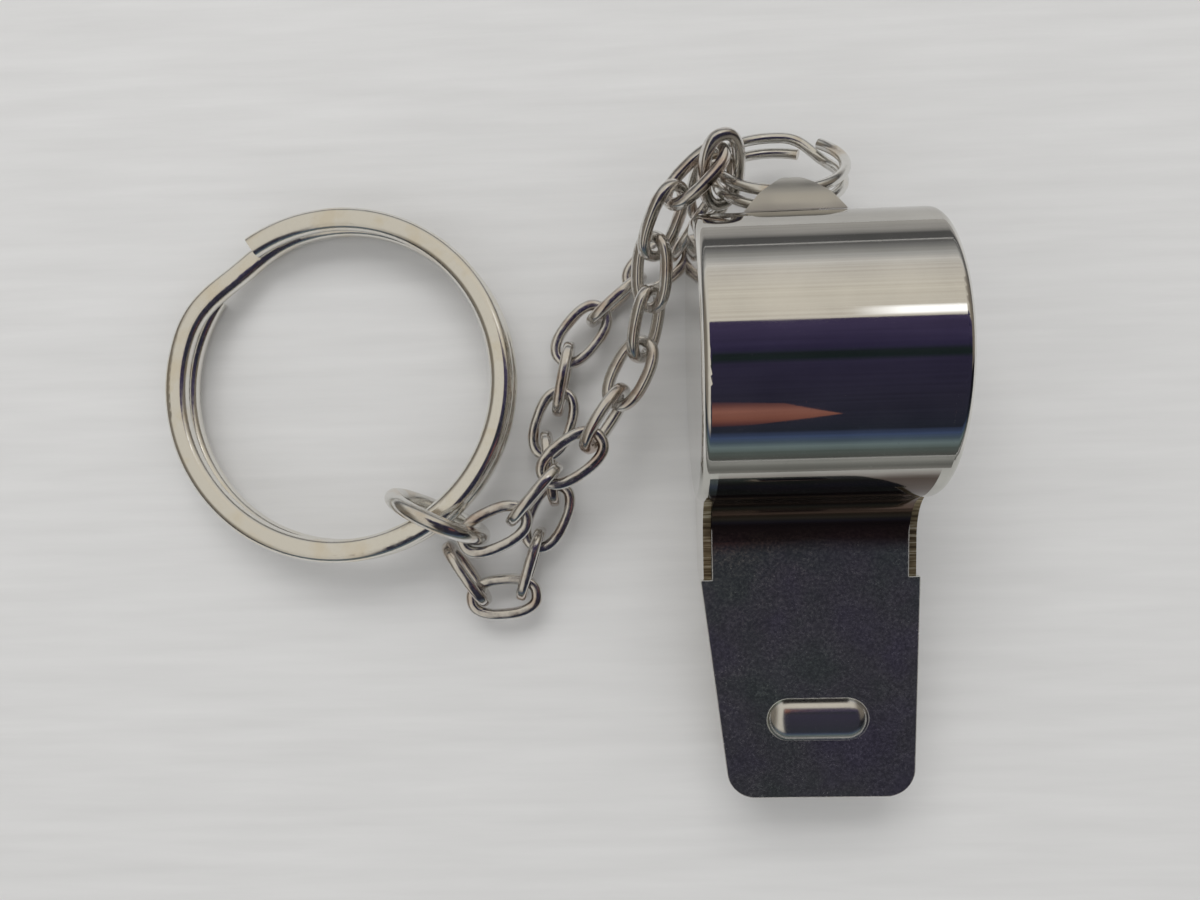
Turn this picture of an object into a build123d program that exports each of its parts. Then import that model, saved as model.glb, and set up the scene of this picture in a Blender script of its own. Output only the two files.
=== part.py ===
"""Sheet-metal pea whistle with a split ring, a doubled chain, a jump ring and a split key ring.

The whistle lies on its window side, as it does when it is put down. Millimetres, +Z up, the barrel's axis
along X and the mouthpiece towards -Y. The origin is the middle of the flat plate that rests on the table.
"""
import math
import os

from build123d import *

# Whistle body
barrel_diameter = 21.0
barrel_width = 17.2
sheet = 0.6
seam_gap = 0.03
rim_round = 0.65
mouthpiece_tip = -34.0
plate_slope = 6.9
bend_radius = 3.8
bend_start_angle = 172.0
lip_angle = -95.0
notch_y = -16.6
window_edge_y = -6.5
axis_y = -(mouthpiece_tip + window_edge_y) / 2
barrel_radius = barrel_diameter / 2
barrel_inside = barrel_radius - sheet
rim_half = barrel_width / 2
strip_half = rim_half - 2 * sheet
wall_drop = 0.3
wall_inside = strip_half + seam_gap

# Half widths of the mouthpiece, which narrows more on its left side
root_half = wall_inside + sheet
left_tip_half = 6.0
right_tip_half = 7.75
plate_overhang = 0.25
tip_corner = 2.2
wall_setback = 1.7

# Tooth grip pressed up from the plate
grip_length = 7.9
grip_width = 3.5
grip_height = 0.9
grip_x = 0.55
grip_y = -27.6

# Windway floor and pea
floor_sheet = 0.6
floor_tip_gap = 0.1
floor_tip_setback = 1.8
floor_side_gap = 0.1
floor_exit_angle = 231.0
floor_clear_angle = 11.0
floor_end_angle = bend_start_angle + floor_clear_angle
floor_span = floor_exit_angle - floor_end_angle
pea_radius = 4.6
pea_running_gap = 0.1

# Lanyard loop bent from a tapered strap
loop_sheet = 0.45
loop_radius = 2.95
loop_stand_off = 2.65
loop_from_left = 7.4
loop_foot_half = 3.6
loop_shoulder_half = 2.5
loop_apex_half = 0.4
loop_taper_back = 0.3
loop_shoulder_out = 1.0
loop_corner = 0.9
solder_gap = 0.02
loop_apex_y = barrel_radius + loop_stand_off
loop_taper_y = barrel_radius - loop_taper_back
loop_shoulder_y = barrel_radius + loop_shoulder_out
loop_x = loop_from_left - rim_half

# Split ring through the loop
split_wire = 0.85
split_gap = 0.42
split_radius = 4.95
split_droop = 50.0
split_aside = 0.15
split_hold_out = 1.12
split_hold_down = -0.3
split_x = loop_x - split_aside
split_hold_y = barrel_radius + split_hold_out
split_hold_z = barrel_radius - split_hold_down
split_jog_start = 28.0
split_jog_end = 80.0
split_end_reach = 16.0
split_jog_dip = 0.0

# Chain links
link_length = 6.5
link_width = 3.9
link_wire = 1.0
link_end_radius = 1.3
link_play = 0.08
ring_play = 0.12
link_reach = (link_length - link_wire) / 2
link_spread = (link_width - link_wire) / 2

# Where the bowed side of a link runs into its round end, so that both share one direction
end_middle = link_reach - link_end_radius
bow_rise = link_spread - link_end_radius
bow_middle = (end_middle ** 2 - bow_rise ** 2) / (2 * bow_rise)
bow_reach = math.hypot(end_middle, bow_middle)
bow_end_x = end_middle + link_end_radius * end_middle / bow_reach
bow_end_y = link_end_radius * bow_middle / bow_reach

# Jump ring and key ring
jump_wire = 1.35
jump_radius = 3.875
jump_heading = 154.0
jump_drop = 15.0
jump_play = 0.12
key_diameter = 29.5
key_band = 1.9
key_coil = 1.4
key_gap = 0.42
key_edge_round = 0.66
key_lift_heading = -53.0
key_tilt = 4.6
key_hang = 0.1
key_jog_start = 106.0
key_jog_end = 161.0
key_end_reach = 16.0
key_jog_dip = 0.6
key_floor_gap = 0.03
key_jump_gap = 0.1

# Heading, climb and roll in degrees, then slack in link lengths, of each link of the strand on top
upper_rows = [
    (222, -10, 40, 0.0),
    (246, -16, -50, 0.045),
    (266, -18, 40, 0.06),
    (258, -16, -55, 0.06),
    (242, -4, 25, 0.045),
    (236, 5, -70, 0.045),
    (214, 0, 0, 0.045),
    (228, 0, 90, 0.03),
    (204, 0, 0, 0.015),
]
upper_ring_angle = 202.0
upper_lean = 0.0

# The same for the strand underneath, from the split ring to its free end
lower_rows = [
    (232, -36, 84, 0.07),
    (212, -8, 0, 0.015),
    (220, 0, 90, 0.015),
    (230, 0, 0, 0.045),
    (258, 0, 90, 0.045),
    (250, 0, 0, 0.09),
    (276, 0, 90, 0.09),
    (244, 0, 0, 0.045),
    (252, 0, 90, 0.03),
    (184, 0, 0, 0.03),
    (124, 0, 90, 0.03),
]
lower_ring_angle = 180.0
lower_lean = 12.0

os.makedirs("parts", exist_ok=True)

side_view = Plane(origin=(0, axis_y, 0), x_dir=(0, 1, 0), z_dir=(1, 0, 0))
plan_view = Plane(origin=(0, axis_y, 0))
barrel_axis = Axis((0, axis_y, barrel_radius), (1, 0, 0))
cutter_depth = 60.0


def polar(radius, angle):
    """A point of the side view at an angle around the barrel's axis."""
    turn = math.radians(angle)
    return (radius * math.cos(turn), barrel_radius + radius * math.sin(turn))


# The concave bend from the barrel into the sloping plate, in the side view
bend_start = polar(barrel_radius, bend_start_angle)
bend_middle = polar(barrel_radius + bend_radius, bend_start_angle)
slope = math.radians(plate_slope)


def bend_point(radius, angle):
    """A point of the side view at an angle around the middle of the bend."""
    turn = math.radians(angle)
    return (bend_middle[0] + radius * math.cos(turn), bend_middle[1] + radius * math.sin(turn))


bend_from = bend_start_angle - 180
bend_to = plate_slope - 90
bend_mid_angle = (bend_from + bend_to) / 2
bend_mid = bend_point(bend_radius, bend_mid_angle)
bend_end = bend_point(bend_radius, bend_to)
sheet_rise = sheet / math.cos(slope)


# How far forward of the barrel's axis the walls meet the resting plate
wall_foot_y = math.sqrt(barrel_radius ** 2 - (barrel_radius - sheet) ** 2)
wall_tip = mouthpiece_tip + wall_setback
wall_bend_radius = bend_radius + wall_drop


def plate_height(y):
    """Height of the plate's outer face at a place along the mouthpiece."""
    return bend_end[1] - (bend_end[0] - y) * math.tan(slope)


def tooth_grip():
    """The domed ridge near the tip: an elliptical bar with rounded ends, cut off inside the plate."""
    base_z = plate_height(grip_y) - sheet / 2
    half_width, rise = grip_width / 2, grip_height + sheet / 2
    end_reach = grip_length / 2 - half_width
    with BuildPart() as grip:
        with BuildSketch(Plane(origin=(grip_x, axis_y + grip_y, base_z), x_dir=(0, 1, 0), z_dir=(1, 0, 0))):
            Ellipse(half_width, rise)
        extrude(amount=end_reach, both=True)
        for end_x in (grip_x - end_reach, grip_x + end_reach):
            end_place = (end_x, axis_y + grip_y, base_z)
            with BuildSketch(Plane(origin=end_place, x_dir=(0, 1, 0), z_dir=(1, 0, 0))):
                Ellipse(half_width, rise)
                Rectangle(half_width, 2 * rise, align=(Align.MIN, Align.CENTER), mode=Mode.INTERSECT)
            revolve(axis=Axis(end_place, (0, 0, 1)))
        split(bisect_by=Plane(origin=(0, 0, base_z)), keep=Keep.TOP)
    return grip.part


# Barrel wrap and mouthpiece plate, bent from one strip, with the tooth grip pressed up near the tip
with BuildPart() as body_strip:
    with BuildSketch(side_view):
        with BuildLine():
            with BuildLine() as outer_line:
                CenterArc((0, barrel_radius), barrel_radius, lip_angle, bend_start_angle - lip_angle)
                ThreePointArc(bend_start, bend_mid, bend_end)
                Line(bend_end, (mouthpiece_tip, plate_height(mouthpiece_tip)))
            offset(outer_line.line, amount=sheet, side=Side.LEFT)
        make_face()
    extrude(amount=cutter_depth / 2, both=True)
    with BuildSketch(plan_view) as strip_plan:
        with BuildLine():
            Polyline(
                (strip_half, barrel_diameter), (strip_half, notch_y), (root_half + plate_overhang, notch_y),
                (right_tip_half + plate_overhang, mouthpiece_tip),
                (-left_tip_half - plate_overhang, mouthpiece_tip),
                (-root_half - plate_overhang, notch_y), (-strip_half, notch_y),
                (-strip_half, barrel_diameter), close=True)
        make_face()
        fillet(strip_plan.vertices().sort_by(Axis.Y)[:2], tip_corner)
    extrude(amount=cutter_depth, mode=Mode.INTERSECT)
    add(tooth_grip())
body_strip.part.label = "body_strip"
export_step(body_strip.part, "parts/body_strip.step")


def side_wall(side, tip_half):
    """A wall of the mouthpiece; side is -1 for the left one and +1 for the right one."""
    with BuildPart() as wall:
        with BuildSketch(side_view):
            with BuildLine():
                wall_bend = ThreePointArc(
                    bend_point(wall_bend_radius, bend_from),
                    bend_point(wall_bend_radius, bend_mid_angle),
                    bend_point(wall_bend_radius, bend_to))
                Polyline(
                    wall_bend @ 1,
                    (notch_y, plate_height(notch_y) - wall_drop),
                    (notch_y, plate_height(notch_y) - sheet_rise),
                    (wall_tip, plate_height(wall_tip) - sheet_rise),
                    (wall_tip, sheet), (-wall_foot_y, sheet), wall_bend @ 0)
            make_face()
        extrude(amount=cutter_depth / 2, both=True)
        with BuildSketch(plan_view):
            with BuildLine():
                Polyline(
                    (side * wall_inside, 0), (side * root_half, 0), (side * root_half, notch_y),
                    (side * tip_half, mouthpiece_tip), (side * (tip_half - sheet), mouthpiece_tip),
                    (side * wall_inside, notch_y), close=True)
            make_face()
        extrude(amount=cutter_depth, mode=Mode.INTERSECT)
    return wall.part


def side_plate(side, tip_half):
    """A dished end of the barrel in one piece with its wall of the mouthpiece."""
    wall = side_wall(side, tip_half)
    section = Plane(origin=(0, axis_y, barrel_radius), x_dir=(side, 0, 0), z_dir=(0, -side, 0))
    rim_arc_middle = (
        rim_half - rim_round + rim_round * math.sin(math.pi / 4),
        barrel_radius - rim_round + rim_round * math.cos(math.pi / 4))
    with BuildPart() as plate:
        with BuildSketch(section):
            with BuildLine():
                rim = ThreePointArc(
                    (rim_half - rim_round, barrel_radius),
                    rim_arc_middle,
                    (rim_half, barrel_radius - rim_round))
                Polyline(
                    rim @ 1, (rim_half, 0), (rim_half - sheet, 0), (rim_half - sheet, barrel_inside),
                    (wall_inside, barrel_inside), (wall_inside, barrel_radius), rim @ 0)
            make_face()
        revolve(axis=barrel_axis)
        add(wall)
    return plate.part


side_plate_left = side_plate(-1, left_tip_half)
side_plate_left.label = "side_plate_left"
export_step(side_plate_left, "parts/side_plate_left.step")
side_plate_right = side_plate(1, right_tip_half)
side_plate_right.label = "side_plate_right"
export_step(side_plate_right, "parts/side_plate_right.step")

# The flat plate that the whistle rests on, which ends at the window
with BuildPart() as top_plate:
    with BuildSketch(plan_view) as rest_outline:
        with BuildLine():
            Polyline(
                (root_half, window_edge_y), (root_half, notch_y), (right_tip_half, mouthpiece_tip),
                (-left_tip_half, mouthpiece_tip), (-root_half, notch_y), (-root_half, window_edge_y),
                close=True)
        make_face()
        fillet(rest_outline.vertices().sort_by(Axis.Y)[:2], tip_corner)
    extrude(amount=sheet)
top_plate.part.label = "top_plate"
export_step(top_plate.part, "parts/top_plate.step")

# Windway floor: a ramp from the tip to the window, then up along the front of the barrel
floor_tip_y = mouthpiece_tip + floor_tip_setback
floor_tip_z = plate_height(floor_tip_y) - sheet_rise - floor_tip_gap
floor_exit = polar(barrel_radius, floor_exit_angle)
floor_fold = polar(barrel_inside, floor_exit_angle)
with BuildPart() as windway_floor:
    with BuildSketch(side_view):
        with BuildLine():
            front = CenterArc((0, barrel_radius), barrel_radius, floor_end_angle, floor_span)
            back = CenterArc((0, barrel_radius), barrel_inside, floor_end_angle, floor_span)
            Line(front @ 0, back @ 0)
            Line(front @ 1, back @ 1)
        make_face()
        with BuildLine():
            Polyline(
                floor_exit, floor_fold, (floor_fold[0], floor_fold[1] + floor_sheet / 2),
                (floor_tip_y, floor_tip_z), (floor_tip_y, floor_tip_z - floor_sheet), close=True)
        make_face()
    extrude(amount=cutter_depth / 2, both=True)
    with BuildSketch(plan_view):
        with BuildLine():
            Polyline(
                (wall_inside - floor_side_gap, 0), (wall_inside - floor_side_gap, notch_y),
                (right_tip_half - sheet - floor_side_gap, mouthpiece_tip),
                (-left_tip_half + sheet + floor_side_gap, mouthpiece_tip),
                (-wall_inside + floor_side_gap, notch_y), (-wall_inside + floor_side_gap, 0), close=True)
        make_face()
    extrude(amount=cutter_depth, mode=Mode.INTERSECT)
windway_floor.part.label = "windway_floor"
export_step(windway_floor.part, "parts/windway_floor.step")

# Cork pea loose in the barrel
pea_z = sheet + pea_running_gap + pea_radius
with BuildPart() as pea:
    with Locations((0, axis_y, pea_z)):
        Sphere(pea_radius)
pea.part.label = "pea"
export_step(pea.part, "parts/pea.step")

# Lanyard loop: a strap bent into a half round, tapered in plan, its feet cut to the barrel
loop_mid_y = loop_apex_y - loop_radius
with BuildPart() as lanyard_loop:
    with BuildSketch(side_view):
        with BuildLine():
            with BuildLine() as strap_line:
                Line((0, barrel_radius - loop_radius), (loop_mid_y, barrel_radius - loop_radius))
                CenterArc((loop_mid_y, barrel_radius), loop_radius, -90, 180)
                Line((loop_mid_y, barrel_radius + loop_radius), (0, barrel_radius + loop_radius))
            offset(strap_line.line, amount=loop_sheet, side=Side.LEFT)
        make_face()
    extrude(amount=cutter_depth / 2, both=True)
    with BuildSketch(plan_view) as strap_plan:
        with BuildLine():
            Polyline(
                (loop_x - loop_foot_half, barrel_radius / 2), (loop_x + loop_foot_half, barrel_radius / 2),
                (loop_x + loop_foot_half, loop_taper_y), (loop_x + loop_shoulder_half, loop_shoulder_y),
                (loop_x + loop_apex_half, loop_apex_y), (loop_x - loop_apex_half, loop_apex_y),
                (loop_x - loop_shoulder_half, loop_shoulder_y), (loop_x - loop_foot_half, loop_taper_y),
                close=True)
        make_face()
        fillet(strap_plan.vertices().sort_by(Axis.Y)[-4:], loop_corner)
    extrude(amount=cutter_depth, mode=Mode.INTERSECT)
    with BuildSketch(side_view):
        with Locations((0, barrel_radius)):
            Circle(barrel_radius + solder_gap)
    extrude(amount=cutter_depth / 2, both=True, mode=Mode.SUBTRACT)
lanyard_loop.part.label = "lanyard_loop"
export_step(lanyard_loop.part, "parts/lanyard_loop.step")


full_turn = 360.0


def ring_level_point(radius, angle, level):
    """A point of a coil at an angle around it and a height along its axis."""
    turn = math.radians(angle)
    return Vector(radius * math.cos(turn), radius * math.sin(turn), level)


def coil_path(radius, pitch, jog_start, jog_end, end_reach, dip):
    """The centre line of a two-turn split ring: a low turn, a jog that climbs one pitch, and a high turn.

    The ends reach some degrees over the jog, and the jog is pressed inwards by a dip.
    """
    low_from = jog_end - end_reach
    high_to = jog_start + end_reach
    turns = ((-pitch / 2, low_from, jog_start + full_turn), (pitch / 2, jog_end, high_to + full_turn))
    for level, begin, end in turns:
        quarter = (end - begin) / 4
        for half in (0, 1):
            ThreePointArc(
                ring_level_point(radius, begin + quarter * 2 * half, level),
                ring_level_point(radius, begin + quarter * (2 * half + 1), level),
                ring_level_point(radius, begin + quarter * (2 * half + 2), level))
        if level < 0:
            Spline(
                ring_level_point(radius, jog_start, level),
                ring_level_point(radius - dip, (jog_start + jog_end) / 2, 0),
                ring_level_point(radius, jog_end, -level),
                tangents=(ring_level_point(1, jog_start + 90, 0), ring_level_point(1, jog_end + 90, 0)))


# Split ring: round wire, two turns
split_pitch = split_wire + split_gap
with BuildPart() as split_coil:
    with BuildLine() as split_line:
        coil_path(split_radius, split_pitch, split_jog_start, split_jog_end, split_end_reach, split_jog_dip)
    with BuildSketch(Plane(origin=split_line.line @ 0, z_dir=split_line.line % 0)):
        Circle(split_wire / 2)
    sweep(path=split_line.line)
droop = math.radians(split_droop)
split_hold = Vector(split_x, axis_y + split_hold_y, split_hold_z)
split_centre = split_hold + Vector(0, math.cos(droop), -math.sin(droop)) * split_radius
split_normal = Vector(0, math.sin(droop), math.cos(droop))
split_plane = Plane(origin=split_centre, x_dir=(1, 0, 0), z_dir=split_normal)
split_ring = split_coil.part.moved(split_plane.location)
split_ring.label = "split_ring"
export_step(split_ring, "parts/split_ring.step")


def standing_link(angle, sense, lean):
    """Centre and directions of a link that holds both turns of the split ring in its hole."""
    turn = math.radians(angle)
    tilt = math.radians(lean)
    outward = split_plane.x_dir * math.cos(turn) + split_plane.y_dir * math.sin(turn)
    tangent = split_plane.y_dir * math.cos(turn) - split_plane.x_dir * math.sin(turn)
    along = split_normal * (sense * math.cos(tilt)) + outward * math.sin(tilt)
    across = tangent.cross(along).normalized()
    seat = split_pitch / 2 * math.cos(tilt) + split_wire / 2 + link_wire / 2 + ring_play
    centre = split_centre + outward * split_radius + along * (link_reach - seat)
    return centre, along, across


def next_link(last, heading, climb, roll, slack):
    """Centre and directions of the link that hangs on the last one's far end."""
    last_centre, last_along, last_across = last
    turn, rise, lay = math.radians(heading), math.radians(climb), math.radians(roll)
    along = Vector(math.cos(turn) * math.cos(rise), math.sin(turn) * math.cos(rise), math.sin(rise))
    level = Vector(-math.sin(turn), math.cos(turn), 0)
    across = level * math.cos(lay) + along.cross(level) * math.sin(lay)
    pull = last_across.cross(across).normalized()
    if pull.dot(last_along + along) < 0:
        pull = -pull
    seat = pull * (link_wire + link_play) + along * (slack * link_length)
    near_bar = last_centre + last_along * link_reach - seat
    return near_bar + along * link_reach, along, across


def chain_link(place):
    """One link: round wire bent into an oval, with two tight ends and two slightly bowed sides."""
    centre, along, across = place
    with BuildPart() as link:
        with BuildLine(Plane(origin=centre, x_dir=along, z_dir=along.cross(across))) as link_line:
            near_side = ThreePointArc((-bow_end_x, bow_end_y), (0, link_spread), (bow_end_x, bow_end_y))
            far_end = ThreePointArc(near_side @ 1, (link_reach, 0), (bow_end_x, -bow_end_y))
            far_side = ThreePointArc(far_end @ 1, (0, -link_spread), (-bow_end_x, -bow_end_y))
            ThreePointArc(far_side @ 1, (-link_reach, 0), near_side @ 0)
        with BuildSketch(Plane(origin=link_line.line @ 0, z_dir=link_line.line % 0)):
            Circle(link_wire / 2)
        sweep(path=link_line.line)
    return link.part


upper_places = [standing_link(upper_ring_angle, 1, upper_lean)]
for row in upper_rows:
    upper_places.append(next_link(upper_places[-1], *row))
lower_places = [standing_link(lower_ring_angle, -1, lower_lean)]
for row in lower_rows:
    lower_places.append(next_link(lower_places[-1], *row))
for strand, places in (("upper", upper_places), ("lower", lower_places)):
    for number, place in enumerate(places, 1):
        link_label = "%s_link_%02d" % (strand, number)
        link_part = chain_link(place)
        link_part.label = link_label
        export_step(link_part, "parts/%s.step" % link_label)

# Jump ring through the last link of the upper strand
end_centre, end_along, _ = upper_places[-1]
jump_hold = end_centre + end_along * (link_reach - link_wire / 2 - jump_wire / 2 - jump_play)
jump_turn, jump_fall = math.radians(jump_heading), math.radians(jump_drop)
jump_out = Vector(math.cos(jump_turn), math.sin(jump_turn), 0)
jump_sag = Vector(0, 0, jump_radius * math.sin(jump_fall))
jump_centre = jump_hold + jump_out * (jump_radius * math.cos(jump_fall)) - jump_sag
with BuildPart() as jump_ring:
    with BuildSketch(Plane(origin=jump_centre, x_dir=jump_out, z_dir=(0, 0, 1))):
        with Locations((jump_radius, 0)):
            Circle(jump_wire / 2)
    revolve(axis=Axis(jump_centre, jump_out.cross(Vector(0, 0, 1))))
jump_ring.part.label = "jump_ring"
export_step(jump_ring.part, "parts/jump_ring.step")

# Split key ring: flat section, two turns, lifted where the jump ring passes under its band
key_radius = (key_diameter - key_band) / 2
key_pitch = key_coil + key_gap
with BuildPart() as key_coil_ring:
    with BuildLine() as key_line:
        coil_path(key_radius, key_pitch, key_jog_start, key_jog_end, key_end_reach, key_jog_dip)
    key_start = key_line.line @ 0
    with BuildSketch(Plane(origin=key_start, x_dir=(key_start.X, key_start.Y, 0), z_dir=key_line.line % 0)):
        RectangleRounded(key_band, key_coil, key_edge_round)
    sweep(path=key_line.line)
lift_turn, lift = math.radians(key_lift_heading), math.radians(key_tilt)
lift_out = Vector(math.cos(lift_turn), math.sin(lift_turn), 0)
key_normal = Vector(0, 0, math.cos(lift)) - lift_out * math.sin(lift)
key_half_stack = (key_pitch + key_coil) / 2
key_rest_height = key_diameter / 2 * math.sin(lift) + key_half_stack * math.cos(lift) + key_floor_gap
# The ring rests on the table, or hangs in the jump ring where that lies higher
jump_seat_z = jump_centre.Z - jump_radius + jump_wire / 2 + key_jump_gap
key_held_height = jump_seat_z + (key_half_stack + key_band / 2 * math.sin(lift)) - key_radius * math.sin(lift)
key_height = max(key_rest_height, key_held_height)
key_centre = jump_centre + jump_out * key_hang - lift_out * (key_radius * math.cos(lift))
key_x = Vector(0, 1, 0).cross(key_normal)
key_plane = Plane(origin=(key_centre.X, key_centre.Y, key_height), x_dir=key_x, z_dir=key_normal)
key_ring = key_coil_ring.part.moved(key_plane.location)
key_ring.label = "key_ring"
export_step(key_ring, "parts/key_ring.step")


def self_gap(path, half_turn_length, thickness, samples=480):
    """Least gap between turns of a coil, measured between points far apart along its centre line."""
    points = [path @ (step / samples) for step in range(samples + 1)]
    apart = int(samples * half_turn_length / path.length)
    gaps = [(points[i] - points[j]).length for i in range(samples + 1) for j in range(i + apart, samples + 1)]
    return min(gaps) - thickness


print("split ring gap %.3f" % self_gap(split_line.wire(), math.pi * split_radius, split_wire))
print("key ring gap %.3f" % self_gap(key_line.wire(), math.pi * key_radius, key_coil))
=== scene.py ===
# %% [markdown]
# A pea whistle on a doubled chain
#
# The whistle lies on its window side on a pale table, seen from straight above. The solids come from the
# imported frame, which fixes every size and place. This script gives them their finishes, makes the pieces
# whose shape is finer than the solids, and sets the light and the camera.

# %% Load the frame
import math
from types import SimpleNamespace

import bpy
import numpy as np
from mathutils import Matrix, Vector


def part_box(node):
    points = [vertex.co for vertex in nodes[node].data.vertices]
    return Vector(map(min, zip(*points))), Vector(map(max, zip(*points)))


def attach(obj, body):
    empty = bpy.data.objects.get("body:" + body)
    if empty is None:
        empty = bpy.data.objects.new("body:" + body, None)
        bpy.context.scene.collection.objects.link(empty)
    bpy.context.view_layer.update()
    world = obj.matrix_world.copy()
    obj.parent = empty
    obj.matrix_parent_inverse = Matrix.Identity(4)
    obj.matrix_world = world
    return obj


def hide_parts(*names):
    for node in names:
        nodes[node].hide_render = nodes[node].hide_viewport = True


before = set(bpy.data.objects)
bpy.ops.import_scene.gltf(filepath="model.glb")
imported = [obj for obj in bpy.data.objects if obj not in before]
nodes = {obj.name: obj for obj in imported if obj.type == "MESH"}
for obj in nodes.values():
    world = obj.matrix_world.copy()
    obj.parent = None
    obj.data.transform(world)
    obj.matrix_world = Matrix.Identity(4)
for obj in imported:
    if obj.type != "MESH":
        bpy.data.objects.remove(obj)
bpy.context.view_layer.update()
scene = bpy.context.scene
scene.view_settings.view_transform = "Standard"
print("nodes in the frame:", len(nodes))

# %% [markdown]
# Camera
#
# The camera is held about 80 mm above the table, turned and leaned a little against the whistle. A
# camera's matrix can be written down directly from its right, up and back directions, which keeps the
# turn and the lean as two plain angles.

# %% Place the camera above the table
MM = 0.001
IMAGE_WIDTH = 1200
FOCAL_PIXELS = 936
CAMERA_PLACE = Vector((-12.63, 13.73, 80.0)) * MM
CAMERA_TURN = math.radians(1.5)
CAMERA_LEAN = math.radians(2.45)

level_right = Vector((math.cos(CAMERA_TURN), -math.sin(CAMERA_TURN), 0))
image_up = Vector((math.sin(CAMERA_TURN), math.cos(CAMERA_TURN), 0))
world_up = Vector((0, 0, 1))
image_right = level_right * math.cos(CAMERA_LEAN) - world_up * math.sin(CAMERA_LEAN)
camera_back = level_right * math.sin(CAMERA_LEAN) + world_up * math.cos(CAMERA_LEAN)

camera = bpy.data.objects.new("camera", bpy.data.cameras.new("camera"))
camera.data.sensor_width = 36
camera.data.lens = camera.data.sensor_width * FOCAL_PIXELS / IMAGE_WIDTH
camera.data.clip_start = 1 * MM
camera.data.clip_end = 10
camera.matrix_world = Matrix((
    (image_right.x, image_up.x, camera_back.x, CAMERA_PLACE.x),
    (image_right.y, image_up.y, camera_back.y, CAMERA_PLACE.y),
    (image_right.z, image_up.z, camera_back.z, CAMERA_PLACE.z),
    (0, 0, 0, 1)))
scene.collection.objects.link(camera)
scene.camera = camera
print("camera lens: %.2f mm" % camera.data.lens)

# %% [markdown]
# Helpers for materials
#
# Every finish here is a small node tree. A helper that makes a node and sets its inputs in one line keeps
# each tree short enough to read as a recipe. The others are the few steps that every finish repeats: a sum,
# a change of range, a colour ramp, a mix of two colours and a noise.

# %% Node helpers
def add_node(tree, kind, inputs=None, **settings):
    """Adds a node, sets its own settings, then its inputs: a value is set and a socket is linked."""
    made = tree.nodes.new(kind)
    for name, value in settings.items():
        setattr(made, name, value)
    for name, value in (inputs or {}).items():
        if isinstance(value, bpy.types.NodeSocket):
            tree.links.new(value, made.inputs[name])
        else:
            made.inputs[name].default_value = value
    return made


def worked_out(tree, operation, *values):
    """A number worked out from sockets and plain numbers."""
    return add_node(tree, "ShaderNodeMath", dict(enumerate(values)), operation=operation).outputs["Value"]


def spread(tree, value, low, high, to_low, to_high):
    """Maps a value from one range to another, held at both ends."""
    ranges = {"Value": value, "From Min": low, "From Max": high, "To Min": to_low, "To Max": to_high}
    return add_node(tree, "ShaderNodeMapRange", ranges).outputs["Result"]


def between(tree, factor, first, second):
    """A number between two others, each one a socket or a plain number."""
    return add_node(tree, "ShaderNodeMix", {0: factor, 2: first, 3: second}).outputs[0]


def axis_of(tree, vector, axis):
    """One coordinate of a vector."""
    return add_node(tree, "ShaderNodeSeparateXYZ", {"Vector": vector}).outputs[axis]


# %% Colour and noise helpers
PLAIN = (1.0, 1.0, 1.0)


def grey(level):
    """A colour without a hue."""
    return (level, level, level)


def colour_steps(tree, factor, steps):
    """A colour ramp with (place, colour) steps, driven by a factor."""
    ramp = add_node(tree, "ShaderNodeValToRGB", {"Fac": factor})
    elements = ramp.color_ramp.elements
    elements.remove(elements[0])
    elements[0].position = steps[0][0]
    elements[0].color = (*steps[0][1], 1)
    for place, colour in steps[1:]:
        elements.new(place).color = (*colour, 1)
    return ramp.outputs["Color"]


def placed_steps(low, high, steps):
    """Steps for a ramp that runs from low to high, from steps that are given in the same unit as these."""
    return [((place - low) / (high - low), colour) for place, colour in steps]


def blended(tree, factor, first, second, blend_type="MIX"):
    """Two colours mixed by a factor, each one a socket or three plain numbers."""
    colours = [given if isinstance(given, bpy.types.NodeSocket) else (*given, 1) for given in (first, second)]
    inputs = {0: factor, 6: colours[0], 7: colours[1]}
    return add_node(tree, "ShaderNodeMix", inputs, data_type="RGBA", blend_type=blend_type).outputs[2]


def tinted(tree, first, second):
    """Two colours multiplied."""
    return blended(tree, 1.0, first, second, "MULTIPLY")


def stretched_noise(tree, place, scale, detail=4.0):
    """Noise with its own scale on each axis, for lines and grain."""
    mapped = add_node(tree, "ShaderNodeMapping", {"Vector": place, "Scale": scale}).outputs["Vector"]
    inputs = {"Vector": mapped, "Scale": 1.0, "Detail": detail}
    return add_node(tree, "ShaderNodeTexNoise", inputs).outputs["Fac"]


def even_noise(tree, place, scale, detail=4.0):
    """Noise with one scale on all axes, for clouds and specks."""
    return stretched_noise(tree, place, (scale, scale, scale), detail)


# %% Base for a finish
def start_finish(name):
    """A material with an empty tree, its shader and the piece's own coordinates."""
    material = bpy.data.materials.new(name)
    material.use_nodes = True
    tree = material.node_tree
    shader = tree.nodes["Principled BSDF"]
    place = add_node(tree, "ShaderNodeTexCoord").outputs["Object"]
    return material, tree, shader, place


def dress(material, *names):
    """Gives CAD nodes one finish."""
    for name in names:
        nodes[name].data.materials.clear()
        nodes[name].data.materials.append(material)


# %% [markdown]
# Nickel sheet
#
# The whistle is sheet brass, nickel plated and polished. Nearly all that it shows is reflection, so the
# finish has to be small: lines drawn along the barrel by the rolling, a faint haze, and fine specks. The
# lines go into the bump, the haze and specks into the roughness, and a little of the haze into the colour.
# The same recipe serves all sheet pieces, and some add their own wear, painted shade and a painted highlight.

# %% Polished nickel sheet
NICKEL = (0.8, 0.785, 0.75)
DULL_NICKEL = tuple(channel * 0.9 for channel in NICKEL)
ROLLED_LINES = (40, 3000, 3000)
LINE_DEPTH = 0.0008 * MM


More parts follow.
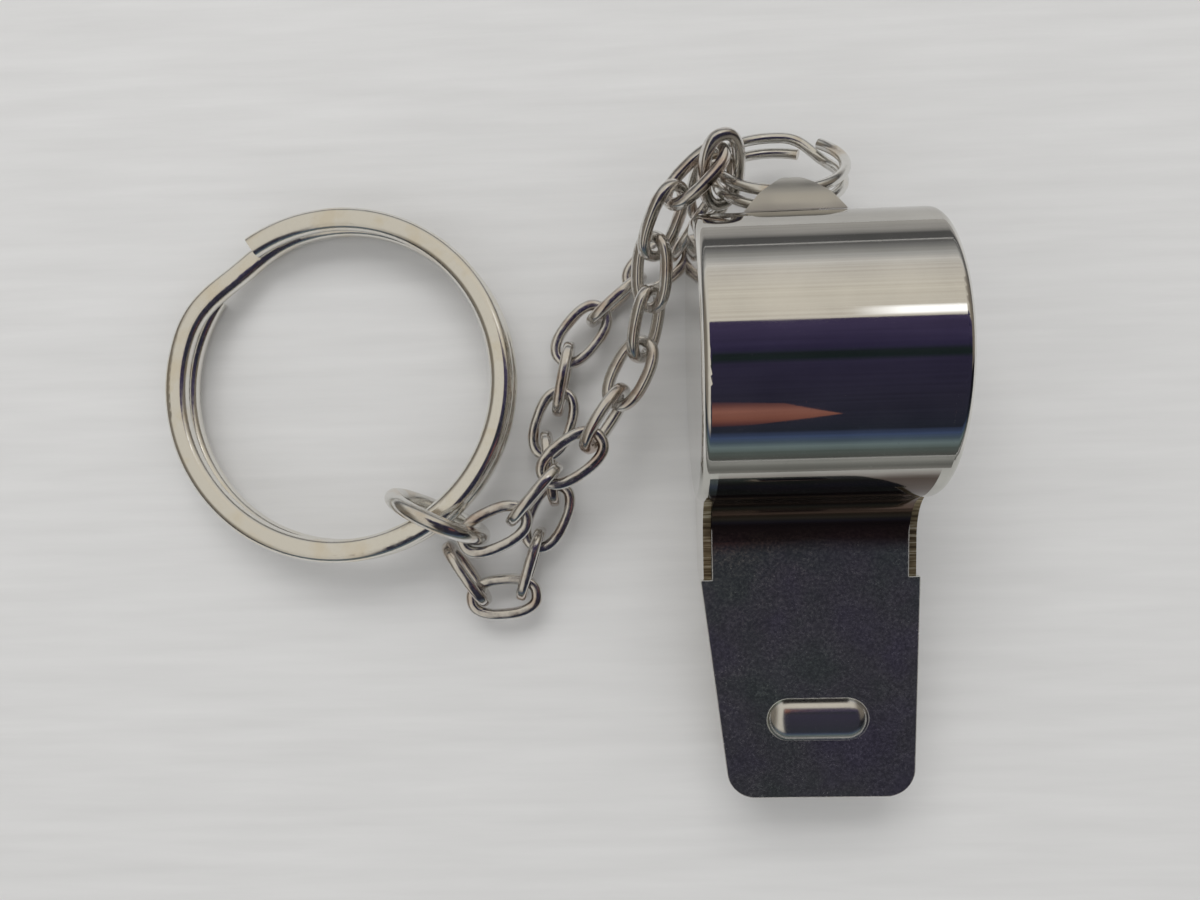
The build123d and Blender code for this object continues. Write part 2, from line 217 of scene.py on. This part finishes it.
def nickel_sheet(name, haze):
    """Polished plate: lines along X, a cloudy haze and specks. Returns the parts for further work."""
    material, tree, shader, place = start_finish(name)
    cloud = even_noise(tree, place, 260, 5.0)
    specks = even_noise(tree, place, 5200, 2.0)
    lines = stretched_noise(tree, place, ROLLED_LINES)
    shade = colour_steps(tree, cloud, [(0.3, DULL_NICKEL), (0.7, NICKEL)])
    hazy = spread(tree, cloud, 0.3, 0.75, haze * 0.6, haze * 1.4)
    rough = worked_out(tree, "ADD", hazy, spread(tree, specks, 0.68, 0.76, 0.0, 0.12))
    bump = add_node(tree, "ShaderNodeBump", {"Strength": 1.0, "Distance": LINE_DEPTH, "Height": lines})
    tree.links.new(bump.outputs["Normal"], shader.inputs["Normal"])
    tree.links.new(shade, shader.inputs["Base Color"])
    tree.links.new(rough, shader.inputs["Roughness"])
    shader.inputs["Metallic"].default_value = 1.0
    return SimpleNamespace(
        material=material, tree=tree, shader=shader, place=place, shade=shade, rough=rough)


polished_nickel = nickel_sheet("polished_nickel", 0.07).material
dress(polished_nickel, "top_plate", "windway_floor")
print("polished sheet made")

# %% [markdown]
# Side plates
#
# A side plate is a dished end of the barrel in one piece with a wall of the mouthpiece. A ramp along Y
# paints the barrel darker at its front and back, as painted shade that stands in for the darker things the
# metal mirrors there. At the neck the plate was sheared and never polished, so brass shows on the edges
# there.
# Those edges are the faces that look up, so the face's own direction finds them and no mesh has to be cut.

# %% Painted shade along the side plates
strip_low, strip_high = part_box("body_strip")
STRIP_FRONT = strip_low[1] / MM
BARREL_BACK = strip_high[1] / MM
BARREL_RADIUS = strip_high[2] / MM / 2
WALL_FRONT = -13.75
# Painted shade on the barrel's front and back, darker where the metal mirrors darker things.
FRONT_PAINTED_SHADE = (0.72, 0.73, 0.71)
BACK_PAINTED_SHADE = (0.62, 0.61, 0.59)

end_sheet = nickel_sheet("end_nickel", 0.06)
tree = end_sheet.tree
end_depth = axis_of(tree, end_sheet.place, "Y")
whole_length = spread(tree, end_depth, WALL_FRONT * MM, BARREL_BACK * MM, 0.0, 1.0)
# A ramp of painted shade along the whistle, multiplied into the sheet's colour.
end_painted_shade = colour_steps(tree, whole_length, placed_steps(WALL_FRONT, BARREL_BACK, [
    (9.5, PLAIN), (10.6, FRONT_PAINTED_SHADE), (12.6, FRONT_PAINTED_SHADE), (13.6, PLAIN), (27.0, PLAIN), (29.3, BACK_PAINTED_SHADE)]))
shaded_end_colour = tinted(tree, end_sheet.shade, end_painted_shade)
print("side plates: tones from %.2f to %.2f mm" % (WALL_FRONT, BARREL_BACK))

# %% Brassy edges at the neck
NECK_FRONT = 3.3
NECK_BACK = 10.2
SHEAR_GROOVES = (300, 5200, 300)
SHEARED_ROUGHNESS = 0.5
SHEARED_METALLIC = 0.75

true_normal = add_node(tree, "ShaderNodeNewGeometry").outputs["True Normal"]
facing_up = spread(tree, axis_of(tree, true_normal, "Z"), 0.3, 0.5, 0.0, 1.0)
behind_notch = worked_out(tree, "GREATER_THAN", end_depth, NECK_FRONT * MM)
before_barrel = worked_out(tree, "LESS_THAN", end_depth, NECK_BACK * MM)
in_neck = worked_out(tree, "MULTIPLY", behind_notch, before_barrel)
sheared = worked_out(tree, "MULTIPLY", in_neck, facing_up)
grooves = stretched_noise(tree, end_sheet.place, SHEAR_GROOVES, 3.0)
brassy = colour_steps(tree, grooves, [
    (0.35, (0.1, 0.07, 0.04)), (0.55, (0.3, 0.24, 0.14)), (0.7, (0.66, 0.6, 0.45))])
tree.links.new(blended(tree, sheared, shaded_end_colour, brassy), end_sheet.shader.inputs["Base Color"])
sheared_rough = between(tree, sheared, end_sheet.rough, SHEARED_ROUGHNESS)
tree.links.new(sheared_rough, end_sheet.shader.inputs["Roughness"])
tree.links.new(spread(tree, sheared, 0.0, 1.0, 1.0, SHEARED_METALLIC), end_sheet.shader.inputs["Metallic"])
dress(end_sheet.material, "side_plate_left", "side_plate_right")
print("side plates dressed")

# %% [markdown]
# Body strip
#
# One strip makes the barrel's wrap and the plate of the mouthpiece. The tight bend between them is painted
# dark brown, and the barrel's front and back darker, as painted shade that stands in for the dark reflections
# there, and the flat plate keeps a finer, duller grain with faint stains. The painted shade is placed by the
# strip's own Y coordinate, shifted by a little noise so that no border is straight. The tooth grip is pressed
# up from the plate and rubbed bright, so the plate's finish ends where the metal rises above the plate's own
# slope.

# %% Painted shade along the strip
PAINTED_SHADE_WANDER = 0.12 * MM

strip_sheet = nickel_sheet("strip_nickel", 0.06)
tree = strip_sheet.tree
strip_depth = axis_of(tree, strip_sheet.place, "Y")
wander = stretched_noise(tree, strip_sheet.place, (110, 600, 600), 3.0)
shift = spread(tree, wander, 0.3, 0.7, -PAINTED_SHADE_WANDER, PAINTED_SHADE_WANDER)
shifted = worked_out(tree, "ADD", strip_depth, shift)
along_strip = spread(tree, shifted, STRIP_FRONT * MM, BARREL_BACK * MM, 0.0, 1.0)
# Painted shade: dark brown in the bend, a paler band after it, and darker at the barrel's front and back.
painted_strip_shade = colour_steps(tree, along_strip, placed_steps(STRIP_FRONT, BARREL_BACK, [
    (5.6, PLAIN), (6.7, (0.34, 0.23, 0.2)), (8.2, (0.15, 0.1, 0.08)), (11.35, (0.11, 0.08, 0.065)),
    (11.75, (0.5, 0.48, 0.46)), (12.1, FRONT_PAINTED_SHADE), (12.6, FRONT_PAINTED_SHADE), (13.6, PLAIN),
    (27.0, PLAIN), (29.3, BACK_PAINTED_SHADE)]))
print("strip: tarnish from %.2f to %.2f mm" % (STRIP_FRONT, BARREL_BACK))

# %% Where the flat plate lies
PLATE_SLOPE = math.tan(math.radians(6.9))
GRIP_Y = -7.35 * MM
PLATE_AT_GRIP = 7.036 * MM
GRIP_START = 0.06 * MM
GRIP_FULL = 0.2 * MM
BEND_FRONT = 6.0 * MM
BEND_BACK = 11.5 * MM

plate_at_zero = PLATE_AT_GRIP - GRIP_Y * PLATE_SLOPE
plate_height = worked_out(tree, "MULTIPLY_ADD", strip_depth, PLATE_SLOPE, plate_at_zero)
above_plate = worked_out(tree, "SUBTRACT", axis_of(tree, strip_sheet.place, "Z"), plate_height)
off_grip = spread(tree, above_plate, GRIP_START, GRIP_FULL, 1.0, 0.0)
near_bend = spread(tree, shifted, BEND_BACK, BEND_FRONT, 0.0, 1.0)
on_plate = worked_out(tree, "MULTIPLY", near_bend, off_grip)
print("plate slope: %.3f" % PLATE_SLOPE)

# %% Stains and grain of the plate
GRIP_ROUGHNESS = 0.2
PLATE_METALLIC = 0.96

stains = colour_steps(tree, even_noise(tree, strip_sheet.place, 130), [
    (0.36, (0.84, 0.96, 0.86)), (0.5, (0.94, 0.93, 0.95)), (0.64, (0.86, 0.8, 1.0))])
grain = even_noise(tree, strip_sheet.place, 4600, 6.0)
grain_shade = colour_steps(tree, grain, [(0.36, grey(0.57)), (0.64, grey(0.82))])
plate_tint = blended(tree, on_plate, PLAIN, tinted(tree, stains, grain_shade))
strip_colour = tinted(tree, tinted(tree, strip_sheet.shade, painted_strip_shade), plate_tint)
mottle = spread(tree, even_noise(tree, strip_sheet.place, 700, 3.0), 0.35, 0.65, 0.8, 1.15)
grainy = worked_out(tree, "MULTIPLY", spread(tree, grain, 0.35, 0.7, 0.09, 0.27), mottle)
handled = between(tree, near_bend, strip_sheet.rough, GRIP_ROUGHNESS)
tree.links.new(between(tree, on_plate, handled, grainy), strip_sheet.shader.inputs["Roughness"])
print("plate grained and stained")

# %% [markdown]
# Painted highlight on the plate edges
#
# The plate's cut edges are painted pale and less metallic, as a painted highlight where they catch the light.
# A mesh bevel would change the solid, so the Bevel node gives the rounded direction in the material, and the
# places where it turns away from the flat one are the edges that get the painted highlight.

# %% Painted highlight on the plate edges
EDGE_ROUND = 0.15 * MM
EDGE_HIGHLIGHT_TONE = (0.82, 0.79, 0.72)
EDGE_HIGHLIGHT_METALLIC = 0.4

rounded = add_node(tree, "ShaderNodeBevel", {"Radius": EDGE_ROUND}, samples=8).outputs["Normal"]
flat = add_node(tree, "ShaderNodeNewGeometry").outputs["Normal"]
agreement = add_node(tree, "ShaderNodeVectorMath", {0: rounded, 1: flat}, operation="DOT_PRODUCT")
flatness = between(tree, on_plate, 1.0, agreement.outputs["Value"])
# Painted highlight: where the rounded and flat directions part, the edge is made pale and less metallic.
painted_edge_highlight = spread(tree, flatness, 0.99, 0.9, 0.0, 1.0)
tree.links.new(blended(tree, painted_edge_highlight, strip_colour, EDGE_HIGHLIGHT_TONE), strip_sheet.shader.inputs["Base Color"])
plate_metal = spread(tree, on_plate, 0.0, 1.0, 1.0, PLATE_METALLIC)
highlight_metal = spread(tree, painted_edge_highlight, 0.0, 1.0, 1.0, EDGE_HIGHLIGHT_METALLIC)
tree.links.new(worked_out(tree, "MINIMUM", plate_metal, highlight_metal), strip_sheet.shader.inputs["Metallic"])
dress(strip_sheet.material, "body_strip")
print("strip dressed")

# %% [markdown]
# Lanyard loop
#
# The loop is a strap of the same sheet, soldered on after polishing and never polished again. It takes the
# sheet's recipe with far more haze and a darker tint, which makes it satin.

# %% Satin loop
SATIN_TINT = (0.75, 0.74, 0.72)

satin_sheet = nickel_sheet("satin_nickel", 0.45)
satin_colour = tinted(satin_sheet.tree, satin_sheet.shade, SATIN_TINT)
satin_sheet.tree.links.new(satin_colour, satin_sheet.shader.inputs["Base Color"])
dress(satin_sheet.material, "lanyard_loop")
print("loop dressed")

# %% [markdown]
# Solder seams
#
# The wrap is soldered to both side plates, and the solder is polished flush, so a real seam hardly shows.
# The solids leave a hair of room there. A thin strip that follows the barrel fills each gap a little below
# the surface. It keeps flat shading, because smooth shading across its square section would make it shine.

# %% Solder in the two barrel seams
BARREL_Y = BARREL_BACK - BARREL_RADIUS
SEAM_X = 7.415
SEAM_HALF = 0.02
SEAM_SINK = 0.003
SEAM_DEPTH = 0.3
SEAM_FROM = -94.0
SEAM_TO = 171.0
SEAM_STEPS = 360


def solder_line(name, middle_x):
    """A thin strip that fills the seam between the wrap and a side plate, a hair below both."""
    top, bottom = BARREL_RADIUS - SEAM_SINK, BARREL_RADIUS - SEAM_DEPTH
    left, right = middle_x - SEAM_HALF, middle_x + SEAM_HALF
    section = [(left, bottom), (right, bottom), (right, top), (left, top)]
    points = []
    faces = []
    for step in range(SEAM_STEPS + 1):
        turn = math.radians(SEAM_FROM + (SEAM_TO - SEAM_FROM) * step / SEAM_STEPS)
        for x, radius in section:
            y = BARREL_Y + radius * math.cos(turn)
            z = BARREL_RADIUS + radius * math.sin(turn)
            points.append((x * MM, y * MM, z * MM))
    for step in range(SEAM_STEPS):
        for side in range(4):
            here, beside = step * 4 + side, step * 4 + (side + 1) % 4
            faces.append((here, beside, beside + 4, here + 4))
    last = SEAM_STEPS * 4
    faces.append((3, 2, 1, 0))
    faces.append((last, last + 1, last + 2, last + 3))
    mesh = bpy.data.meshes.new(name)
    mesh.from_pydata(points, [], faces)
    mesh.materials.append(end_sheet.material)
    piece = bpy.data.objects.new(name, mesh)
    scene.collection.objects.link(piece)
    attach(piece, "whistle")


solder_line("seam_solder_left", -SEAM_X)
solder_line("seam_solder_right", SEAM_X)
print("seams filled")

# %% [markdown]
# Wire, band and cork
#
# The rings and links are drawn wire with the same plating, but handled more, so they are duller, and warm
# where the plating has thinned. The links were pressed flat after bending, and the press leaves shallow
# dents, which a slow noise in the bump gives. The pea is cork, with dark pores.

# %% Plated wire
def plated_wire(name, tint, warm, haze, dents):
    """Handled plating on wire: worn warm patches, press dents, fine scratches and uneven gloss."""
    material, tree, shader, place = start_finish(name)
    patches = even_noise(tree, place, 380)
    scratches = even_noise(tree, place, 2600, 3.0)
    pressed = even_noise(tree, place, 700, 1.0)
    tree.links.new(colour_steps(tree, patches, [(0.5, tint), (0.66, warm)]), shader.inputs["Base Color"])
    tree.links.new(spread(tree, scratches, 0.35, 0.7, haze * 0.7, haze * 1.6), shader.inputs["Roughness"])
    dented = add_node(tree, "ShaderNodeBump", {"Strength": 1.0, "Distance": dents * MM, "Height": pressed})
    bump = add_node(tree, "ShaderNodeBump", {
        "Strength": 0.6, "Distance": 0.002 * MM, "Height": scratches, "Normal": dented.outputs["Normal"]})
    tree.links.new(bump.outputs["Normal"], shader.inputs["Normal"])
    shader.inputs["Metallic"].default_value = 1.0
    return material


steel_wire = plated_wire("steel_wire", (0.74, 0.73, 0.7), (0.64, 0.56, 0.46), 0.16, 0.01)
steel_band = plated_wire("steel_band", (0.82, 0.8, 0.75), (0.8, 0.75, 0.65), 0.14, 0.006)
plated_chain = plated_wire("plated_chain", (0.72, 0.7, 0.67), (0.6, 0.51, 0.45), 0.16, 0.05)
dress(steel_wire, "split_ring", "jump_ring")
dress(steel_band, "key_ring")
print("wire and band finishes made")

# %% Cork
cork, tree, shader, place = start_finish("cork")
pores = add_node(tree, "ShaderNodeTexVoronoi", {"Vector": place, "Scale": 900.0}).outputs["Distance"]
cork_shade = colour_steps(tree, even_noise(tree, place, 700, 6.0), [
    (0.3, (0.3, 0.18, 0.09)), (0.7, (0.62, 0.44, 0.26))])
tree.links.new(cork_shade, shader.inputs["Base Color"])
cork_bump = add_node(tree, "ShaderNodeBump", {"Strength": 0.8, "Distance": 0.2 * MM, "Height": pores})
tree.links.new(cork_bump.outputs["Normal"], shader.inputs["Normal"])
shader.inputs["Roughness"].default_value = 0.85
dress(cork, "pea")
print("cork made")

# %% [markdown]
# Chain links
#
# A link is wire bent into an oval and pressed, so its section is a soft square with four flats. One link
# is made with Geometry Nodes: a circle is squared a little and stretched into the oval, and a rounded
# square runs along it. The tree makes a link of any size from its named inputs. Each finished link is a
# copy of that mesh, put where the solid link lies, so all links stay alike and each one still rides on
# its own body.

# %% Oval for one link
OVAL_POWER = 0.82
OVAL_POINTS = 80
SECTION_POINTS = 32


def shaped_axis(tree, value, reach):
    """Squares a circle's coordinate a little and stretches it to a reach."""
    fuller = worked_out(tree, "POWER", worked_out(tree, "ABSOLUTE", value), OVAL_POWER)
    signed = worked_out(tree, "MULTIPLY", fuller, worked_out(tree, "SIGN", value))
    return worked_out(tree, "MULTIPLY", signed, reach)


link_tree = bpy.data.node_groups.new("oval_link", "GeometryNodeTree")
for label in ("Reach", "Spread", "Flat", "Corner"):
    link_tree.interface.new_socket(name=label, in_out="INPUT", socket_type="NodeSocketFloat")
link_tree.interface.new_socket(name="Finish", in_out="INPUT", socket_type="NodeSocketMaterial")
link_tree.interface.new_socket(name="Geometry", in_out="OUTPUT", socket_type="NodeSocketGeometry")
given = add_node(link_tree, "NodeGroupInput").outputs
circle = add_node(link_tree, "GeometryNodeCurvePrimitiveCircle", {"Resolution": OVAL_POINTS, "Radius": 1.0})
position = add_node(link_tree, "GeometryNodeInputPosition").outputs["Position"]
oval_place = add_node(link_tree, "ShaderNodeCombineXYZ", {
    "X": shaped_axis(link_tree, axis_of(link_tree, position, "X"), given["Reach"]),
    "Y": shaped_axis(link_tree, axis_of(link_tree, position, "Y"), given["Spread"])})
oval = add_node(link_tree, "GeometryNodeSetPosition", {
    "Geometry": circle.outputs["Curve"], "Position": oval_place.outputs["Vector"]})
upright = add_node(link_tree, "GeometryNodeSetCurveNormal", {"Curve": oval.outputs["Geometry"]}, mode="Z_UP")
print("oval drawn with", OVAL_POINTS, "points")

# %% Pressed section along the oval
square = add_node(link_tree, "GeometryNodeCurvePrimitiveQuadrilateral", {
    "Width": given["Flat"], "Height": given["Flat"]})
soft_square = add_node(link_tree, "GeometryNodeFilletCurve", {
    "Curve": square.outputs["Curve"], "Count": 4, "Radius": given["Corner"]}, mode="POLY")
even_square = add_node(link_tree, "GeometryNodeResampleCurve", {
    "Curve": soft_square.outputs["Curve"], "Count": SECTION_POINTS})
swept = add_node(link_tree, "GeometryNodeCurveToMesh", {
    "Curve": upright.outputs["Curve"], "Profile Curve": even_square.outputs["Curve"]})
smooth = add_node(link_tree, "GeometryNodeSetShadeSmooth", {"Geometry": swept.outputs["Mesh"]})
real = add_node(link_tree, "GeometryNodeRealizeInstances", {"Geometry": smooth.outputs["Geometry"]})
plated = add_node(link_tree, "GeometryNodeSetMaterial", {
    "Geometry": real.outputs["Geometry"], "Material": given["Finish"]})
add_node(link_tree, "NodeGroupOutput", {"Geometry": plated.outputs["Geometry"]})
print("link tree has", len(link_tree.nodes), "nodes")

# %% One link and where each link lies
LINK_WIRE = 1.0 * MM
FLAT_ACROSS = 0.9 * MM
FLAT_ROUND = 0.33 * MM


def lie_of(node):
    """Centre, long, wide and thin directions of a link, and its sizes along them, from its own vertices."""
    corners = np.array([node.matrix_world @ vertex.co for vertex in node.data.vertices])
    centre = (corners.max(axis=0) + corners.min(axis=0)) / 2
    directions = np.linalg.svd(corners - corners.mean(axis=0), full_matrices=False)[2]
    along, across = directions[0], directions[1]
    turned = np.array((along, across, np.cross(along, across)))
    reach = (corners - centre) @ turned.T
    middle = (reach.max(axis=0) + reach.min(axis=0)) / 2
    return centre + middle @ turned, turned, reach.max(axis=0) - reach.min(axis=0)


def single_link(length, width):
    """One link's mesh at the origin, made by the tree."""
    maker = bpy.data.objects.new("link_maker", bpy.data.meshes.new("link_maker"))
    scene.collection.objects.link(maker)
    modifier = maker.modifiers.new("oval_link", "NODES")
    modifier.node_group = link_tree
    values = {"Reach": (length - LINK_WIRE) / 2, "Spread": (width - LINK_WIRE) / 2, "Flat": FLAT_ACROSS,
              "Corner": FLAT_ROUND, "Finish": plated_chain}
    for item in link_tree.interface.items_tree:
        if item.in_out == "INPUT":
            modifier[item.identifier] = values[item.name]
    graph = bpy.context.evaluated_depsgraph_get()
    made = bpy.data.meshes.new_from_object(maker.evaluated_get(graph))
    bpy.data.objects.remove(maker)
    return made


link_names = sorted(name for name in nodes if "_link_" in name)
first_size = lie_of(nodes[link_names[0]])[2]
link_mesh = single_link(first_size[0], first_size[1])
print("one link: %.2f by %.2f mm" % (first_size[0] / MM, first_size[1] / MM))

# %% Links in their places
for name in link_names:
    centre, turned = lie_of(nodes[name])[:2]
    put = Matrix.Identity(4)
    for row in range(3):
        for column in range(3):
            put[row][column] = turned[column][row]
        put[row][3] = centre[row]
    mesh = link_mesh.copy()
    mesh.transform(put)
    mesh.name = name + "_pressed"
    piece = bpy.data.objects.new(name + "_pressed", mesh)
    scene.collection.objects.link(piece)
    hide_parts(name)
    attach(piece, name)
print("links made:", len(link_names), "of", len(link_mesh.polygons), "faces")

# %% [markdown]
# Table
#
# The whistle lies on a board painted white with a brush. Strokes that run along X show as faint changes of
# colour and as a shallow bump, and a slower noise bends the surface a little. One flat square is enough for
# the board, because its relief is far finer than any edge that could show.

# %% Pale table
FLOOR_HALF = 6.0
BRUSH_STROKES = (60, 700, 1)
SLOW_SWELLS = (30, 60, 1)

table_mesh = bpy.data.meshes.new("table")
corners = [(-FLOOR_HALF, -FLOOR_HALF, 0), (FLOOR_HALF, -FLOOR_HALF, 0), (FLOOR_HALF, FLOOR_HALF, 0),
           (-FLOOR_HALF, FLOOR_HALF, 0)]
table_mesh.from_pydata(corners, [], [(0, 1, 2, 3)])
table = bpy.data.objects.new("table", table_mesh)
scene.collection.objects.link(table)
painted, tree, shader, place = start_finish("painted_table")
strokes = stretched_noise(tree, place, BRUSH_STROKES, 6.0)
swells = stretched_noise(tree, place, SLOW_SWELLS, 3.0)
paint = colour_steps(tree, strokes, [(0.25, (0.68, 0.675, 0.665)), (0.75, (0.74, 0.735, 0.725))])
tree.links.new(paint, shader.inputs["Base Color"])
brushed = add_node(tree, "ShaderNodeBump", {"Strength": 0.35, "Distance": 0.12 * MM, "Height": strokes})
uneven = add_node(tree, "ShaderNodeBump", {
    "Strength": 0.3, "Distance": 0.8 * MM, "Height": swells, "Normal": brushed.outputs["Normal"]})
tree.links.new(uneven.outputs["Normal"], shader.inputs["Normal"])
shader.inputs["Roughness"].default_value = 0.6
shader.inputs["Specular IOR Level"].default_value = 0.06
table_mesh.materials.append(painted)
print("table made")

# %% [markdown]
# Room
#
# Polished metal is a mirror, so the room matters more than the lamps. The world gives a room to reflections
# only, as bands by the angle from straight up, with fine streaks, a paler left side, dim far sides and one
# small glint. Other rays see a plain pale room, so the light on the table is even.

# %% Bands of the room
ROOM_BANDS = [
    (-89, (0.1, 0.105, 0.1)), (-82, (0.1, 0.125, 0.12)), (-77, (0.15, 0.2, 0.21)), (-73, (0.07, 0.1, 0.13)),
    (-68, (0.05, 0.075, 0.15)), (-62, (0.02, 0.022, 0.035)), (-27, (0.03, 0.028, 0.048)),
    (-20, (0.5, 0.47, 0.42)), (10, (0.66, 0.62, 0.55)), (45, (0.7, 0.66, 0.58)), (64, (0.64, 0.61, 0.56)),
    (68, (0.62, 0.6, 0.56)), (70, (0.66, 0.64, 0.61)), (72.5, (0.56, 0.55, 0.53)), (75, (0.46, 0.46, 0.45)),
    (78, (0.38, 0.38, 0.37)), (81, (0.3, 0.3, 0.29)), (85, grey(0.2)), (89, grey(0.13))]
STREAKS_PER_DEGREE = 0.55

world = bpy.data.worlds.new("room")
world.use_nodes = True
scene.world = world
tree = world.node_tree
tree.nodes.clear()
facing = add_node(tree, "ShaderNodeTexCoord").outputs["Generated"]
rightward = axis_of(tree, facing, "X")
tilt = worked_out(tree, "ARCTAN2", axis_of(tree, facing, "Y"), axis_of(tree, facing, "Z"))
degrees_up = worked_out(tree, "MULTIPLY", tilt, math.degrees(1))
bands = colour_steps(tree, spread(tree, degrees_up, -90, 90, 0.0, 1.0), placed_steps(-90, 90, ROOM_BANDS))
streak_place = worked_out(tree, "MULTIPLY", degrees_up, STREAKS_PER_DEGREE)
streaks = add_node(tree, "ShaderNodeTexNoise", {
    "W": streak_place, "Scale": 1.0, "Detail": 4.0}, noise_dimensions="1D")
streak_shade = colour_steps(tree, streaks.outputs["Fac"], [(0.3, (0.84, 0.83, 0.82)), (0.7, PLAIN)])
streaked = tinted(tree, bands, streak_shade)
print("room made with", len(ROOM_BANDS), "bands")

# %% Sides and glint of the room
LEFT_TONE = (0.62, 0.59, 0.53)
GLINT = (1.5, 1.5, 1.5)


def window_on(tree, value, low, high, edge):
    """One between two limits and nothing outside, with soft edges."""
    rising = spread(tree, value, low - edge, low, 0.0, 1.0)
    falling = spread(tree, value, high, high + edge, 1.0, 0.0)
    return worked_out(tree, "MULTIPLY", rising, falling)


to_left = spread(tree, rightward, -0.12, -0.26, 0.0, 0.9)
leftward = worked_out(tree, "MULTIPLY", to_left, window_on(tree, degrees_up, -55, 58, 14))
opened = blended(tree, leftward, streaked, LEFT_TONE)
sideways = worked_out(tree, "ABSOLUTE", rightward)
dimmed = tinted(tree, opened, colour_steps(tree, sideways, [(0.55, PLAIN), (0.8, (0.3, 0.28, 0.26))]))
glint = worked_out(tree, "MULTIPLY", window_on(tree, degrees_up, 26, 30, 2),
                   window_on(tree, rightward, 0.27, 0.34, 0.05))
room_colour = blended(tree, glint, dimmed, GLINT)
print("sides and glint added")

# %% Which rays see which room
mirror_room = add_node(tree, "ShaderNodeBackground", {"Color": room_colour, "Strength": 1.0})
plain_room = add_node(tree, "ShaderNodeBackground", {"Color": (0.86, 0.86, 0.85, 1), "Strength": 1.0})
soft_room = add_node(tree, "ShaderNodeBackground", {"Color": (0.8, 0.8, 0.8, 1), "Strength": 0.8})
ray = add_node(tree, "ShaderNodeLightPath").outputs
seen = worked_out(tree, "MAXIMUM", ray["Is Camera Ray"], ray["Is Transmission Ray"])
shown = add_node(tree, "ShaderNodeMixShader", {0: seen, 1: soft_room.outputs[0], 2: plain_room.outputs[0]})
whole = add_node(tree, "ShaderNodeMixShader", {
    0: ray["Is Glossy Ray"], 1: shown.outputs[0], 2: mirror_room.outputs[0]})
add_node(tree, "ShaderNodeOutputWorld", {"Surface": whole.outputs[0]})
print("world has", len(tree.nodes), "nodes")

# %% [markdown]
# Cards
#
# A dark card hangs above the whistle and a small warm card above its bend. Two more lie on the table, behind
# and in front, as painted shade: they darken the far parts of the table as the metal mirrors it. A world is
# endlessly far, but a card is near, so each piece sees it at another angle, as it would in a real room. Only
# reflections see the cards at all.

# %% One card for reflections
def hung_card(name, height, outline, steps):
    """A flat card at a height, given its outline and its colours along Y, all in millimetres."""
    mesh = bpy.data.meshes.new(name)
    mesh.from_pydata([(x * MM, y * MM, height * MM) for x, y in outline], [], [tuple(range(len(outline)))])
    card = bpy.data.objects.new(name, mesh)
    scene.collection.objects.link(card)
    material, tree, shader, place = start_finish(name)
    low, high = steps[0][0], steps[-1][0]
    ramp_place = spread(tree, axis_of(tree, place, "Y"), low * MM, high * MM, 0.0, 1.0)
    shade = colour_steps(tree, ramp_place, placed_steps(low, high, steps))
    folds = colour_steps(tree, stretched_noise(tree, place, (40, 240, 40)), [(0.3, grey(0.75)), (0.7, PLAIN)])
    tree.links.new(tinted(tree, shade, folds), shader.inputs["Emission Color"])
    shader.inputs["Emission Strength"].default_value = 1.0
    shader.inputs["Base Color"].default_value = (0.0, 0.0, 0.0, 1.0)
    shader.inputs["Specular IOR Level"].default_value = 0.0
    mesh.materials.append(material)
    card.visible_camera = False
    card.visible_diffuse = False
    card.visible_transmission = False
    card.visible_shadow = False


# %% Cards over the whistle and on the far table
FLOOR_REACH = 900
FAR_START = 60
NEAR_START = -50
FLOOR_CARD_HEIGHT = 0.3


def floor_outline(front, back):
    """A wide band of the table from one Y to another."""
    return [(-FLOOR_REACH, front), (FLOOR_REACH, front), (FLOOR_REACH, back), (-FLOOR_REACH, back)]


hung_card("dark_card", 95, [(-33, -135), (130, -135), (130, 53.5), (-33, 53.5)], [
    (-135, (0.02, 0.024, 0.036)), (-40, (0.026, 0.025, 0.044)), (7, (0.03, 0.026, 0.055)),
    (12, (0.012, 0.02, 0.02)), (17, (0.014, 0.02, 0.022)), (22, (0.032, 0.027, 0.065)),
    (53.5, (0.062, 0.048, 0.105))])
hung_card("warm_card", 30, [(-9, -2), (-3, -0.5), (3.6, 4), (-1.5, 8.4), (-9, 9.5)], [
    (-2, (0.03, 0.02, 0.035)), (0.5, (0.13, 0.05, 0.045)), (3, (0.25, 0.098, 0.072)),
    (6, (0.26, 0.11, 0.085)), (8, (0.14, 0.06, 0.055)), (9.5, (0.04, 0.027, 0.045))])
# Painted shade: the two cards on the table darken it where it lies in shade, as the metal mirrors it.
hung_card("far_floor_shade", FLOOR_CARD_HEIGHT, floor_outline(FAR_START, FLOOR_REACH), [
    (FAR_START, (0.52, 0.51, 0.49)), (95, (0.38, 0.37, 0.36)), (140, grey(0.1)), (FLOOR_REACH, grey(0.1))])
hung_card("near_floor_shade", FLOOR_CARD_HEIGHT, floor_outline(-FLOOR_REACH, NEAR_START), [
    (-FLOOR_REACH, (0.34, 0.34, 0.33)), (-200, (0.38, 0.38, 0.37)), (-75, (0.2, 0.2, 0.19)),
    (NEAR_START, (0.3, 0.29, 0.28))])
print("cards placed")

# %% [markdown]
# Lamp
#
# A wide, weak lamp from behind gives the soft shadow on the table. It is hidden from reflections, because
# the room already shows what the metal should mirror.

# %% Soft lamp
LAMP_WIDTH = 0.5
LAMP_HEIGHT = 0.3
LAMP_ENERGY = 1.7
LAMP_PLACE = Vector((-0.1, 0.45, 0.5))

lamp = bpy.data.objects.new("window", bpy.data.lights.new("window", "AREA"))
lamp.data.shape = "RECTANGLE"
lamp.data.size = LAMP_WIDTH
lamp.data.size_y = LAMP_HEIGHT
lamp.data.energy = LAMP_ENERGY
lamp.location = LAMP_PLACE
lamp.rotation_euler = (-LAMP_PLACE).to_track_quat("-Z", "Y").to_euler()
lamp.visible_glossy = False
scene.collection.objects.link(lamp)
print("lamp energy:", LAMP_ENERGY)
